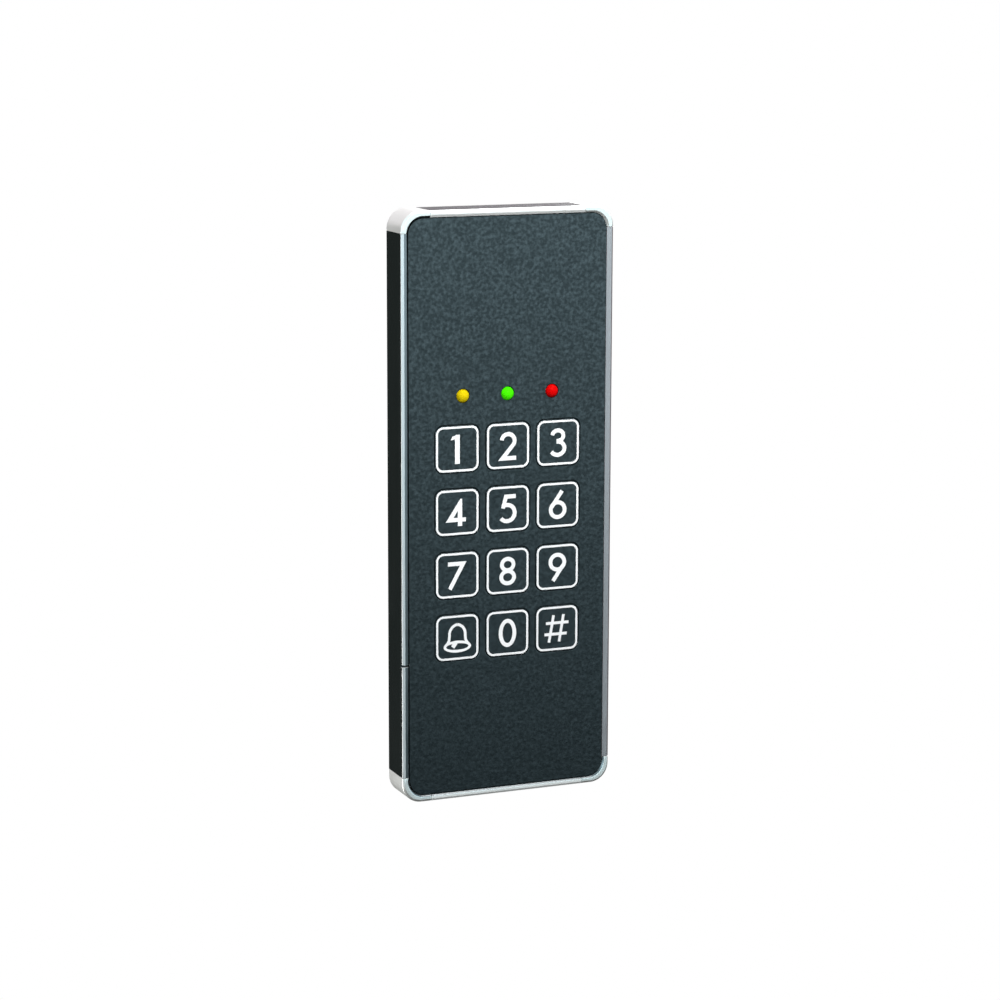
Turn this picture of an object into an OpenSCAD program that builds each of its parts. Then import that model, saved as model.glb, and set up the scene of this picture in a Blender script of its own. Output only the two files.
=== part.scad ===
// Slim wall-mounted keypad access reader.
// Every piece is modelled lying on its back: plan X is the width, plan Y is the height of the
// reader, and Z is the distance from the wall. upright() then stands it up, so that the
// finished part has +Z up, faces -Y and rests against the wall plane y = 0.
// The origin is the middle of the wall plate's rear face.

/* [Body] */
// Width across the two long side walls
body_w = 52; // [51.5:0.5:56]
// Height from the bottom wall to the top wall
body_h = 136.5; // [136:0.5:146]
// Depth of the side walls, from their back edge to the start of the front edge strips
side_wall_d = 9; // [9:0.25:12]
// Radius of the four outer corners
corner_r = 4.5; // [4.2:0.1:5.5]
// Space between the wall and the back of the body, filled by the wall plate
wall_gap = 3; // [3:0.1:3.6]
// Thickness of the housing floor
floor_t = 1.2; // [1:0.1:1.3]

/* [Front edge] */
// Width of the sloping outer side of the front edge
edge_slope = 0.5; // [0.3:0.05:0.6]
// How far the front edge stands in front of the side walls
edge_rise = 0.45; // [0.3:0.05:0.6]
// From the outer wall to where the straight strips slope down to the panel
strip_w = 0.95; // [0.9:0.05:1.25]
// Thickness of the strips and of the corner caps' front lip, front to back
strip_t = 1.25; // [1:0.05:1.5]
// Width of the whole front edge, on the corner caps' lip and on the strips
lip_w = 1.6; // [1.55:0.05:1.65]
// Wall thickness of the corner caps
cap_wall = 1.2; // [1:0.05:1.25]
// Length of a corner cap along the top or bottom wall
cap_len_x = 7; // [6:0.1:9]
// Length of a top corner cap down the side wall
cap_len_top = 5; // [5:0.1:8]
// Length of a bottom corner cap up the side wall
cap_len_bottom = 6; // [5:0.1:8]
// Height above the middle of the body at which the left strip is split in two
strip_split_z = -35.7; // [-50:0.1:50]
// Gap between the two lengths of the left strip
strip_split_gap = 0.5; // [0.2:0.05:0.6]

/* [Front panel] */
// Gap and lip together, from the outer side wall to the panel's edge
panel_inset = 1.72; // [1.7:0.01:1.9]
// How far the panel's face lies behind the front edge
panel_setback = 0.25; // [0.1:0.05:0.5]
// Thickness of the panel
panel_t = 2; // [1.5:0.1:2.2]
// Corner radius of the panel
panel_r = 3.6; // [3:0.1:4]
// Thickness of the adhesive gasket behind the panel
gasket_t = 0.3; // [0.2:0.05:0.4]

/* [Keypad] */
// Distance between key columns
key_pitch_x = 12.5; // [12.5:0.1:13]
// Distance between key rows
key_pitch_z = 14.65; // [13:0.05:14.7]
// How far the middle of the keypad lies below the middle of the body
keypad_drop = 8.05; // [7.5:0.05:8.5]
// Side of the square key caps
key_size = 10.9; // [10:0.1:11]
// Corner radius of the key caps
key_corner_r = 2; // [1.5:0.1:2.5]
// Gap all round a key cap in its aperture
key_gap = 0.15; // [0.1:0.05:0.2]
// Travel of a key
key_travel = 0.5; // [0.3:0.05:0.5]

/* [Indicators] */
// Distance between the three indicator lamps
led_pitch = 11; // [10:0.1:12]
// Height of the lamp row above the middle of the body
led_row_z = 26.05; // [25:0.05:26.5]
// Sideways shift of the lamp row
led_shift_x = -0.1; // [-0.5:0.05:0.5]
// Radius of a lamp
led_r = 1.5; // [1.2:0.1:1.5]
// How far a lamp's dome stands out of the panel
led_proud = 1.1; // [0.5:0.1:1.4]

/* [Wall fixing] */
// Distance between the two wall screws
wall_screw_pitch = 83.3; // [80:0.1:86]
// Radius of the wall screw holes
wall_screw_r = 2.1; // [1.8:0.1:2.2]
// How much smaller than the body the wall plate is, on each side
plate_inset = 2; // [2:0.1:3]
// Radius of the cable's hole in the gland
cable_r = 2.6; // [2:0.1:2.6]

/* [Hidden] */
KEYS = ["1", "2", "3", "4", "5", "6", "7", "8", "9", "bell", "0", "hash"];
KEY_NODES = [for (k = KEYS) str("key_", k)];
STEM_NODES = [for (k = KEYS) str("switch_stem_", k)];

$fn = 48;
e = 0.01;            // overlap that lets a cutter run clear through a face
fit = 0.05;          // gap between pieces that are pushed or glued together

// Distances from the wall, back to front
z_floor = wall_gap + floor_t;
z_strip_front = wall_gap + side_wall_d + edge_rise;
z_strip_back = z_strip_front - strip_t;
z_panel = z_strip_front - panel_setback;
z_panel_back = z_panel - panel_t;
z_gasket_back = z_panel_back - gasket_t;
flange_t = 0.6;
z_flange = z_panel_back - fit - flange_t;
boss_h = 0.35;
boss_r = 1.8;
key_flange_w = 0.5;
z_stem_top = z_flange - boss_h;
stem_out = key_travel + 0.4;
z_switch_top = z_stem_top - stem_out;
switch_h = 2;
z_board = z_switch_top - switch_h;
board_t = 1.2;
z_board_back = z_board - board_t;
z_led_top = z_panel + led_proud;
lamp_h = 4.6;
z_lamp_base = z_led_top - lamp_h;

// Outlines
lip_drop = 0.5;
panel_w = body_w - 2 * panel_inset;
panel_h = body_h - 2 * panel_inset;
rebate_gap = 0.13;
rebate_w = panel_w + 2 * rebate_gap;
rebate_h = panel_h + 2 * rebate_gap;
ledge_w = 1.25;
cavity_w = rebate_w - 2 * ledge_w;
cavity_h = rebate_h - 2 * ledge_w;
cavity_r = 2.4;
plate_w = body_w - 2 * plate_inset;
plate_h = body_h - 2 * plate_inset;
plate_t = wall_gap - 0.1;
plate_r = 2.5;

// Main board and what stands on it
board_w = cavity_w - 1.2;
board_top = 59.5;
board_bottom = -62.5;
board_r = 1;
board_screw_x = 19.6;
board_screw_y = [55.5, -56.5];
board_screw_r = 0.95;
board_screw_head_r = 1.8;
board_screw_head_h = 1.2;
standoff_r = 2.2;
standoff_hole_floor = 0.4;
screw_slot = [2.4, 0.5];
screw_slot_floor = 0.6;
switch_w = 6;
stem_r = 1.5;
stem_in = 0.75;
coil_size = [33, 21];
coil_y = 47;
coil_band = 2;
coil_t = 0.8;
lamp_flange_w = 0.4;
lamp_flange_h = 0.8;
lamp_gap = 0.1;
lead_x = 0.9;
lead_r = 0.25;
lead_tail = 0.4;
chip_part_h = 0.6;
cable_y = 31.5;
gland_neck = 0.65;
gland_brim = 1.6;
tamper_at = [14, -50];
tamper_r = 1.15;
tamper_travel = 1;
tamper_switch_h = 2.6;
tamper_tip = 0.7;        // how far the plunger reaches into its switch
collar_r = 2;
collar_t = 0.5;
screw_recess_d = 1.6;
opening_w = 20;
opening_y = [12, 36];
pocket_t = 1.2;
pocket_w = 9;
side_pockets = [[-58, -28], [-24, -2], [2, 26], [30, 58]];
middle_pocket = [-35, -4];
hook_x = 14;
hook_w = 6;
hook_y = [61.5, 63];
hook_catch = 1.6;
hook_lip_t = 1;
hook_slot_gap = 0.3;
tab_w = 11.6;
tab_y = [-body_h / 2 + plate_inset + 0.05, -body_h / 2 + 5.35];
lock_screw_z = 1.55;
lock_screw_r = 0.95;
lock_head_r = 1.4;
lock_head_h = 1.2;
lock_socket_r = 0.7;
lock_socket_d = 0.7;
lock_screw_len = 9;

// Stands a piece up from its back, so that plan Y becomes height
module upright() rotate([90, 0, 0]) children();

// Rectangle with round corners, centred on the origin
module round_rect(w, h, r) {
  square([w - 2 * r, h], center = true);
  square([w, h - 2 * r], center = true);
  for (x = [-1, 1], y = [-1, 1]) {
    translate([x * (w / 2 - r), y * (h / 2 - r)]) circle(r);
  }
}

// Slab with a rounded-rectangle outline between two heights
module slab(w, h, r, low, high) {
  translate([0, 0, low]) linear_extrude(high - low) round_rect(w, h, r);
}

// Box given by its plan centre, plan size and two heights
module block(at, size, low, high) {
  translate([at.x - size.x / 2, at.y - size.y / 2, low]) cube([size.x, size.y, high - low]);
}

// Carries a profile round a rounded rectangle. In the profile, X is the distance outward
// from the outline and Y is the height.
module rim_sweep(w, h, r) {
  for (turn = [0 : 3]) {
    half_x = (turn % 2 == 0 ? w : h) / 2;
    half_y = (turn % 2 == 0 ? h : w) / 2;
    rotate(90 * turn) {
      translate([half_x, half_y - r, 0])
        rotate([90, 0, 0]) linear_extrude(2 * (half_y - r)) children();
      translate([half_x - r, half_y - r, 0])
        rotate_extrude(angle = 90) translate([r, 0]) children();
    }
  }
}

// Plan position of key number i, counted from the top left
function key_at(i) = [
  (i % 3 - 1) * key_pitch_x,
  -keypad_drop + (1.5 - floor(i / 3)) * key_pitch_z
];

// Plan position of lamp number i, counted from the left
function led_at(i) = [led_shift_x + (i - 1) * led_pitch, led_row_z];

// Plan region in which a corner cap lies; side is -1 for left, end is 1 for top
module cap_region(side, end, len_y, gap) {
  far = 5;
  x0 = body_w / 2 - cap_len_x - gap;
  y0 = body_h / 2 - len_y - gap;
  x1 = body_w / 2 + far;
  y1 = body_h / 2 + far;
  translate([side * (x0 + x1) / 2, end * (y0 + y1) / 2]) square([x1 - x0, y1 - y0], center = true);
}

// Satin metal cap that wraps one corner over the full depth of the body
module corner_cap(side, end) {
  len_y = end > 0 ? cap_len_top : cap_len_bottom;
  lip_slope = 0.45;
  color([0.86, 0.87, 0.87]) upright() difference() {
    translate([0, 0, wall_gap]) linear_extrude(z_strip_front - wall_gap) intersection() {
      round_rect(body_w, body_h, corner_r);
      cap_region(side, end, len_y, 0);
    }
    rim_sweep(body_w, body_h, corner_r) polygon([
      [-edge_slope, z_strip_front],
      [-edge_slope, z_strip_front + 1],
      [1, z_strip_front + 1],
      [1, z_strip_front - edge_rise],
      [0, z_strip_front - edge_rise]
    ]);
    slab(body_w - 2 * cap_wall, body_h - 2 * cap_wall, corner_r - cap_wall, 0, z_strip_back);
    slab(body_w - 2 * lip_w, body_h - 2 * lip_w, panel_r + 0.1, z_strip_back - e, z_strip_front + 1);
    rim_sweep(body_w - 2 * lip_w, body_h - 2 * lip_w, panel_r + 0.1) polygon([
      [-1, z_strip_front - lip_drop],
      [0, z_strip_front - lip_drop],
      [lip_slope, z_strip_front],
      [lip_slope, z_strip_front + 1],
      [-1, z_strip_front + 1]
    ]);
  }
}

// Cross-section of an edge strip, with its outer side at x = 0
module strip_profile() {
  polygon([
    [0, z_strip_back],
    [0, z_strip_front - edge_rise],
    [-edge_slope, z_strip_front],
    [-strip_w, z_strip_front],
    [-lip_w, z_strip_front - lip_drop],
    [-lip_w, z_strip_back]
  ]);
}

// Length of strip on the right-hand side wall between two heights
module strip_length(low, high) {
  translate([body_w / 2, high, 0]) rotate([90, 0, 0]) linear_extrude(high - low) strip_profile();
}

side_strip_top = body_h / 2 - cap_len_top - fit;
side_strip_bottom = -body_h / 2 + cap_len_bottom + fit;
end_strip_half = body_w / 2 - cap_len_x - fit;

// Left strip, in two lengths
module edge_strip_left() {
  color([0.72, 0.76, 0.78]) upright() mirror([1, 0, 0]) {
    strip_length(strip_split_z + strip_split_gap / 2, side_strip_top);
    strip_length(side_strip_bottom, strip_split_z - strip_split_gap / 2);
  }
}

// Right strip, in one length
module edge_strip_right() {
  color([0.72, 0.76, 0.78]) upright() strip_length(side_strip_bottom, side_strip_top);
}

// Strip along the top wall, or along the bottom wall when end is -1
module edge_strip_end(end) {
  color([0.78, 0.8, 0.82]) upright() rotate(90 * end)
    translate([body_h / 2, end_strip_half, 0])
      rotate([90, 0, 0]) linear_extrude(2 * end_strip_half) strip_profile();
}

// Black tray: its walls come flush to the outside between the corner caps
module housing() {
  color([0.09, 0.1, 0.1]) upright() difference() {
    union() {
      difference() {
        translate([0, 0, wall_gap]) linear_extrude(z_strip_back - fit - wall_gap) difference() {
          round_rect(body_w, body_h, corner_r);
          for (side = [-1, 1], end = [-1, 1]) {
            difference() {
              cap_region(side, end, end > 0 ? cap_len_top : cap_len_bottom, fit);
              round_rect(
                body_w - 2 * (cap_wall + fit), body_h - 2 * (cap_wall + fit),
                corner_r - cap_wall - fit
              );
            }
          }
        }
        slab(rebate_w, rebate_h, panel_r + rebate_gap, z_gasket_back, z_strip_front);
        slab(cavity_w, cavity_h, cavity_r, z_floor, z_strip_front);
      }
      for (x = [-1, 1], y = board_screw_y) {
        translate([x * board_screw_x, y, wall_gap + e])
          cylinder(r = standoff_r, h = z_board_back - wall_gap - e);
      }
      block([0, (tab_y[0] + tab_y[1]) / 2], [tab_w, tab_y[1] - tab_y[0]], 0.2, wall_gap + 0.5);
    }
    for (x = [-1, 1], y = board_screw_y) {
      translate([x * board_screw_x, y, wall_gap + standoff_hole_floor])
        cylinder(r = board_screw_r + fit, h = z_board_back);
    }
    for (x = [-1, 1]) {
      block(
        [x * hook_x, (hook_y[0] + hook_y[1] - hook_catch + hook_slot_gap) / 2],
        [hook_w + 2 * hook_slot_gap, hook_y[1] - hook_y[0] + hook_catch + hook_slot_gap],
        wall_gap - 1, z_floor + e
      );
    }
    translate([0, cable_y, wall_gap - 1]) cylinder(r = cable_r + gland_neck + fit, h = floor_t + 2);
    translate([tamper_at.x, tamper_at.y, wall_gap - 1]) cylinder(r = tamper_r + 0.07, h = floor_t + 2);
    translate([0, tab_y[1] + 1, lock_screw_z])
      rotate([90, 0, 0]) cylinder(r = lock_screw_r + 0.1, h = tab_y[1] - tab_y[0] + 2);
  }
}

// Shallow moulding recess in the plate's rear face, between two heights
module plate_pocket(x, ends) {
  translate([x, (ends[0] + ends[1]) / 2, 0]) slab(pocket_w, ends[1] - ends[0], 1, -1, pocket_t);
}

// Plate that is screwed to the wall; the body hangs on its hooks
module wall_plate() {
  head_r = 2 * wall_screw_r;
  color([0.16, 0.17, 0.17]) upright() difference() {
    union() {
      slab(plate_w, plate_h, plate_r, 0, plate_t);
      for (x = [-1, 1]) {
        block(
          [x * hook_x, (hook_y[0] + hook_y[1]) / 2],
          [hook_w, hook_y[1] - hook_y[0]],
          1, z_floor + hook_lip_t
        );
        block(
          [x * hook_x, (hook_y[0] + hook_y[1] + hook_catch) / 2],
          [hook_w, hook_y[1] + hook_catch - hook_y[0]],
          z_floor + 2 * fit, z_floor + hook_lip_t
        );
      }
    }
    for (end = [-1, 1]) {
      translate([0, end * wall_screw_pitch / 2, -1]) cylinder(r = wall_screw_r, h = plate_t + 2);
      translate([0, end * wall_screw_pitch / 2, plate_t - screw_recess_d])
        cylinder(r = head_r, h = screw_recess_d + 1);
    }
    block([0, (opening_y[0] + opening_y[1]) / 2], [opening_w, opening_y[1] - opening_y[0]], -1, plate_t + 1);
    for (x = [-1, 1]) {
      for (ends = side_pockets) plate_pocket(x * (opening_w / 2 + 2 + pocket_w / 2), ends);
      plate_pocket(x * (pocket_w / 2 + 1), middle_pocket);
    }
    translate([tamper_at.x, tamper_at.y, -1]) cylinder(r = tamper_r + 0.45, h = plate_t + 2);
    block([0, tab_y[0]], [tab_w + 0.8, 2 * (tab_y[1] - tab_y[0] + 0.4)], -1, plate_t + 1);
    translate([0, tab_y[1] + lock_screw_len, lock_screw_z])
      rotate([90, 0, 0]) cylinder(r = lock_screw_r + fit, h = lock_screw_len + 2);
  }
}

// Textured fascia with twelve key apertures and three lamp holes
module front_panel() {
  color([0.25, 0.29, 0.31]) upright() difference() {
    slab(panel_w, panel_h, panel_r, z_panel_back, z_panel);
    for (i = [0 : 11]) {
      translate([key_at(i).x, key_at(i).y, 0])
        slab(
          key_size + 2 * key_gap, key_size + 2 * key_gap, key_corner_r + key_gap,
          z_panel_back - 1, z_panel + 1
        );
    }
    for (i = [0 : 2]) {
      translate([led_at(i).x, led_at(i).y, z_panel_back - 1]) cylinder(r = led_r + lamp_gap, h = panel_t + 2);
    }
  }
}

// Ring of adhesive foam between the panel and the housing's ledge
module panel_gasket() {
  color([0.12, 0.12, 0.12]) upright() difference() {
    slab(panel_w - 0.2, panel_h - 0.2, panel_r - 0.1, z_gasket_back, z_panel_back);
    slab(cavity_w + 0.2, cavity_h + 0.2, cavity_r, z_gasket_back - 1, z_panel_back + 1);
  }
}

// Square key cap with a flange behind the panel and a boss that bears on its switch
module key_cap(i) {
  color([0.22, 0.25, 0.27]) upright() translate([key_at(i).x, key_at(i).y, 0]) {
    slab(key_size, key_size, key_corner_r, z_flange, z_panel);
    slab(
      key_size + 2 * key_flange_w, key_size + 2 * key_flange_w, key_corner_r,
      z_flange, z_flange + flange_t
    );
    translate([0, 0, z_stem_top]) cylinder(r = boss_r, h = boss_h + e);
  }
}

// Round stem of a key's switch
module switch_stem(i) {
  color([0.85, 0.82, 0.7]) upright()
    translate([key_at(i).x, key_at(i).y, z_switch_top - stem_in])
      cylinder(r = stem_r, h = stem_in + stem_out);
}

// Twelve switch bodies, each with a well for its stem
module switch_bodies() {
  well_r = stem_r + 0.1;
  well_d = stem_in + key_travel + 0.1;
  color([0.2, 0.2, 0.22]) upright() for (i = [0 : 11]) {
    difference() {
      block(key_at(i), [switch_w, switch_w], z_board, z_switch_top);
      translate([key_at(i).x, key_at(i).y, z_switch_top - well_d]) cylinder(r = well_r, h = well_d + 1);
    }
  }
}

// Domed indicator lamp with a flange at its base
module led(i, tint) {
  color(tint) upright() translate([led_at(i).x, led_at(i).y, 0]) {
    translate([0, 0, z_lamp_base]) cylinder(r = led_r, h = lamp_h - led_r);
    translate([0, 0, z_lamp_base]) cylinder(r = led_r + lamp_flange_w, h = lamp_flange_h);
    translate([0, 0, z_led_top - led_r]) sphere(r = led_r);
  }
}

// Two wire legs under each lamp, through the board
module led_legs() {
  color([0.75, 0.75, 0.75]) upright() for (i = [0 : 2], side = [-1, 1]) {
    translate([led_at(i).x + side * lead_x, led_at(i).y, z_board_back - lead_tail])
      cylinder(r = lead_r, h = z_lamp_base - z_board_back + lead_tail);
  }
}

// Circuit board on the housing's four standoffs
module main_board() {
  color([0.05, 0.32, 0.18]) upright() difference() {
    translate([0, (board_top + board_bottom) / 2, 0])
      slab(board_w, board_top - board_bottom, board_r, z_board_back, z_board);
    for (x = [-1, 1], y = board_screw_y) {
      translate([x * board_screw_x, y, z_board_back - 1]) cylinder(r = board_screw_r + 0.15, h = board_t + 2);
    }
    for (i = [0 : 2], side = [-1, 1]) {
      translate([led_at(i).x + side * lead_x, led_at(i).y, z_board_back - 1])
        cylinder(r = lead_r + 0.1, h = board_t + 2);
    }
    translate([0, cable_y, z_board_back - 1]) cylinder(r = cable_r + 0.4, h = board_t + 2);
    translate([tamper_at.x, tamper_at.y, z_board_back - 1]) cylinder(r = collar_r + 0.4, h = board_t + 2);
  }
}

// Flat rectangular winding that reads the card
module antenna_coil() {
  color([0.72, 0.42, 0.2]) upright() translate([0, coil_y, 0]) difference() {
    slab(coil_size.x, coil_size.y, 3, z_board, z_board + coil_t);
    slab(coil_size.x - 2 * coil_band, coil_size.y - 2 * coil_band, 1.5, z_board - 1, z_board + coil_t + 1);
  }
}

// Chip with a plain rectangular package, standing on the board
module chip(at, size, height, tint) {
  color(tint) upright() block(at, size, z_board, z_board + height);
}

// Surface-mounted resistors and capacitors beside and below the keypad
module chip_parts() {
  part_size = [2, 1.25];
  color([0.55, 0.45, 0.33]) upright() {
    for (side = [-1, 1], i = [0 : 7]) {
      block([side * 19.4, 8 - 5.4 * i], part_size, z_board, z_board + chip_part_h);
    }
    for (i = [0 : 4]) {
      block([-16 + 4 * i, -38.6], part_size, z_board, z_board + chip_part_h);
    }
  }
}

// Round sounder with its port in the middle
module buzzer() {
  color([0.1, 0.1, 0.11]) upright() translate([-11, -50, z_board]) difference() {
    cylinder(r = 6, h = 3.2);
    translate([0, 0, 2]) cylinder(r = 1, h = 2);
  }
}

// Plug-in header for the cable's wires
module cable_header() {
  color([0.92, 0.9, 0.82]) upright() difference() {
    block([9, cable_y], [7, 5], z_board, z_board + 3.2);
    block([9, cable_y], [5.6, 3.6], z_board + 1, z_board + 5);
  }
}

// Rubber gland moulded into the housing floor
module cable_gland() {
  z_gland_top = z_board_back - 0.2;
  color([0.1, 0.1, 0.1]) upright() translate([0, cable_y, 0]) difference() {
    union() {
      translate([0, 0, wall_gap]) cylinder(r = cable_r + gland_neck, h = floor_t + e);
      translate([0, 0, z_floor]) cylinder(r = cable_r + gland_brim, h = z_gland_top - z_floor);
    }
    translate([0, 0, wall_gap - 1]) cylinder(r = cable_r, h = floor_t + 4);
  }
}

// Switch that bridges a hole in the board and is worked from behind
module tamper_switch() {
  well_d = tamper_tip + tamper_travel + 0.3;
  color([0.15, 0.15, 0.17]) upright() difference() {
    block(tamper_at, [switch_w, switch_w], z_board, z_board + tamper_switch_h);
    translate([tamper_at.x, tamper_at.y, z_board - 1]) cylinder(r = tamper_r + 0.1, h = well_d + 1);
  }
}

// Sprung pin whose tip lies in the wall plane; a collar keeps it in the housing
module tamper_plunger() {
  color([0.9, 0.9, 0.88]) upright() translate([tamper_at.x, tamper_at.y, 0]) {
    cylinder(r = tamper_r, h = z_board + tamper_tip);
    translate([0, 0, z_floor + fit]) cylinder(r = collar_r, h = collar_t);
  }
}

// Four cross-head screws that hold the board to its standoffs
module board_screws() {
  color([0.7, 0.7, 0.72]) upright() for (x = [-1, 1], y = board_screw_y) {
    translate([x * board_screw_x, y, 0]) difference() {
      union() {
        translate([0, 0, wall_gap + standoff_hole_floor + 2 * fit])
          cylinder(r = board_screw_r, h = z_board - wall_gap);
        translate([0, 0, z_board]) cylinder(r = board_screw_head_r, h = board_screw_head_h);
      }
      for (slot = [screw_slot, [screw_slot.y, screw_slot.x]]) {
        block([0, 0], slot, z_board + screw_slot_floor, z_board + 2);
      }
    }
  }
}

// Security screw that goes up through the housing's tab into the wall plate
module lock_screw() {
  z_low = tab_y[0];
  color([0.7, 0.7, 0.72]) upright() translate([0, 0, lock_screw_z]) rotate([-90, 0, 0]) difference() {
    union() {
      translate([0, 0, z_low - lock_head_h]) cylinder(r = lock_head_r, h = lock_head_h);
      translate([0, 0, z_low - e]) cylinder(r = lock_screw_r, h = lock_screw_len);
    }
    translate([0, 0, z_low - lock_head_h - 1]) cylinder(r = lock_socket_r, h = lock_socket_d + 1, $fn = 6);
  }
}

wall_plate();
housing();
front_panel();
panel_gasket();
corner_cap(-1, 1);  // corner_cap_top_left
corner_cap(1, 1);  // corner_cap_top_right
corner_cap(-1, -1);  // corner_cap_bottom_left
corner_cap(1, -1);  // corner_cap_bottom_right
edge_strip_left();
edge_strip_right();
edge_strip_end(1);  // edge_strip_top
edge_strip_end(-1);  // edge_strip_bottom
led(0, [0.93, 0.82, 0.08]);  // led_amber
led(1, [0.3, 0.95, 0.05]);  // led_green
led(2, [0.92, 0.05, 0.04]);  // led_red
led_legs();
main_board();
switch_bodies();
antenna_coil();
chip([0, coil_y], [6, 5], 1.2, [0.08, 0.08, 0.09]);  // reader_chip
chip([2, -45], [7, 7], 1.2, [0.08, 0.08, 0.09]);  // microcontroller
chip([3, -54.5], [6.5, 3.5], 1.7, [0.1, 0.1, 0.1]);  // regulator
chip([9, -43], [5, 3.2], 1.2, [0.75, 0.75, 0.73]);  // crystal
chip_parts();
buzzer();
cable_header();
cable_gland();
tamper_switch();
tamper_plunger();
board_screws();
lock_screw();
for (i = [0 : 11]) {
  key_cap(i);
  switch_stem(i);
}
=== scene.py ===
from math import asin, cos, degrees, hypot, pi, radians, sin

import bmesh
import bpy
from mathutils import Matrix, Vector


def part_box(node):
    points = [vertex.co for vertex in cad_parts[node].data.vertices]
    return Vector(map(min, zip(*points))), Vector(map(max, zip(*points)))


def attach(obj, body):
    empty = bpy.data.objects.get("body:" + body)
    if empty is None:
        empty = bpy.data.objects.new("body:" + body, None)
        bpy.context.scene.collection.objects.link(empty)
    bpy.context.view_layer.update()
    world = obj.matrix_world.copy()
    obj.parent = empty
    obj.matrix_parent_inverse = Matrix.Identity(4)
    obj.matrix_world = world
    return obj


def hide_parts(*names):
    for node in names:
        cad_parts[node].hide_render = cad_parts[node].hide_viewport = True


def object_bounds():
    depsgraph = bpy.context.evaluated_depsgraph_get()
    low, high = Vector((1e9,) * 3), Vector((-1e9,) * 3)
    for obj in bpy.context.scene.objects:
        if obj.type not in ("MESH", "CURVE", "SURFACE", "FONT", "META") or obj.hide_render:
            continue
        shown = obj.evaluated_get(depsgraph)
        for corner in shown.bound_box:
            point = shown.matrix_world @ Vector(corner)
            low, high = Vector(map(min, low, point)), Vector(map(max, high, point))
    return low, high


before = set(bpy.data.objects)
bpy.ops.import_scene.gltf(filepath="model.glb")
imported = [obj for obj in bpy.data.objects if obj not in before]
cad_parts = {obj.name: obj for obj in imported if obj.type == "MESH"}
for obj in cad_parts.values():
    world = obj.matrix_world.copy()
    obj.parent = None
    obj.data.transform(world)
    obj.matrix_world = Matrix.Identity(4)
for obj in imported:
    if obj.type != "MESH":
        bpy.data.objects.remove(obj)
cad_low, cad_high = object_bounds()
mm = 0.001

# ---------------------------------------------------------------------------
# Wall plate. A black moulded plate that is screwed to the wall. Two hooks carry the reader and
# a screw from below locks it on. The plate's faces have a fine spark-eroded grain.

plate_black = (0.022, 0.024, 0.024, 1)


def socket(group, name, way, kind="NodeSocketFloat", value=None):
    """Adds an input or output to a shader group."""
    made = group.interface.new_socket(name=name, in_out=way, socket_type=kind)
    if value is not None:
        made.default_value = value
    return made


def node(tree, kind, inputs=None, **settings):
    """Adds a node, sets its properties, then its inputs: a value, or the socket that feeds it."""
    made = tree.nodes.new(kind)
    for key, value in settings.items():
        setattr(made, key, value)
    for key, value in (inputs or {}).items():
        if isinstance(value, bpy.types.NodeSocket):
            tree.links.new(value, made.inputs[key])
        else:
            made.inputs[key].default_value = value
    return made


def build_edge_wear():
    """Shader group: 1 on rounded-over edges, broken up by a fine noise, and 0 on open faces."""
    group = bpy.data.node_groups.new("edge wear", "ShaderNodeTree")
    socket(group, "Radius", "INPUT", value=0.2 * mm)
    socket(group, "Break Up", "INPUT", value=900.0)
    socket(group, "Mask", "OUTPUT")
    inside = node(group, "NodeGroupInput")
    outside = node(group, "NodeGroupOutput")
    soft = node(group, "ShaderNodeBevel", {"Radius": inside.outputs["Radius"]}, samples=4)
    hard = node(group, "ShaderNodeNewGeometry")
    facing = node(group, "ShaderNodeVectorMath", {
        0: soft.outputs["Normal"], 1: hard.outputs["Normal"]}, operation="DOT_PRODUCT")
    edge = node(group, "ShaderNodeMapRange", {
        "Value": facing.outputs["Value"], "From Min": 0.985, "From Max": 0.86})
    place = node(group, "ShaderNodeTexCoord")
    patches = node(group, "ShaderNodeTexNoise", {
        "Vector": place.outputs["Object"], "Scale": inside.outputs["Break Up"], "Detail": 4.0})
    spread = node(group, "ShaderNodeMapRange", {
        "Value": patches.outputs["Fac"], "From Min": 0.38, "From Max": 0.62})
    worn = node(group, "ShaderNodeMath", {
        0: edge.outputs["Result"], 1: spread.outputs["Result"]}, operation="MULTIPLY")
    group.links.new(worn.outputs["Value"], outside.inputs["Mask"])
    return group


def build_moulded_grain():
    """Shader group: fine pits and slow patches of a moulded or painted surface."""
    group = bpy.data.node_groups.new("moulded grain", "ShaderNodeTree")
    socket(group, "Size", "INPUT", value=0.3)
    socket(group, "Height", "OUTPUT")
    socket(group, "Patches", "OUTPUT")
    inside = node(group, "NodeGroupInput")
    outside = node(group, "NodeGroupOutput")
    place = node(group, "ShaderNodeTexCoord")
    per_metre = node(group, "ShaderNodeMath", {
        0: 1 / mm, 1: inside.outputs["Size"]}, operation="DIVIDE")
    fine = node(group, "ShaderNodeTexNoise", {
        "Vector": place.outputs["Object"], "Scale": per_metre.outputs["Value"],
        "Detail": 3.0, "Roughness": 0.6})
    slow = node(group, "ShaderNodeTexNoise", {
        "Vector": place.outputs["Object"], "Scale": 70.0, "Detail": 3.0})
    group.links.new(fine.outputs["Fac"], outside.inputs["Height"])
    group.links.new(slow.outputs["Fac"], outside.inputs["Patches"])
    return group


edge_wear = build_edge_wear()
moulded_grain = build_moulded_grain()


def scaled(colour, factor):
    """The colour made darker or lighter, and no lighter than white."""
    return [min(1.0, part * factor) for part in colour[:3]] + [1]


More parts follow.
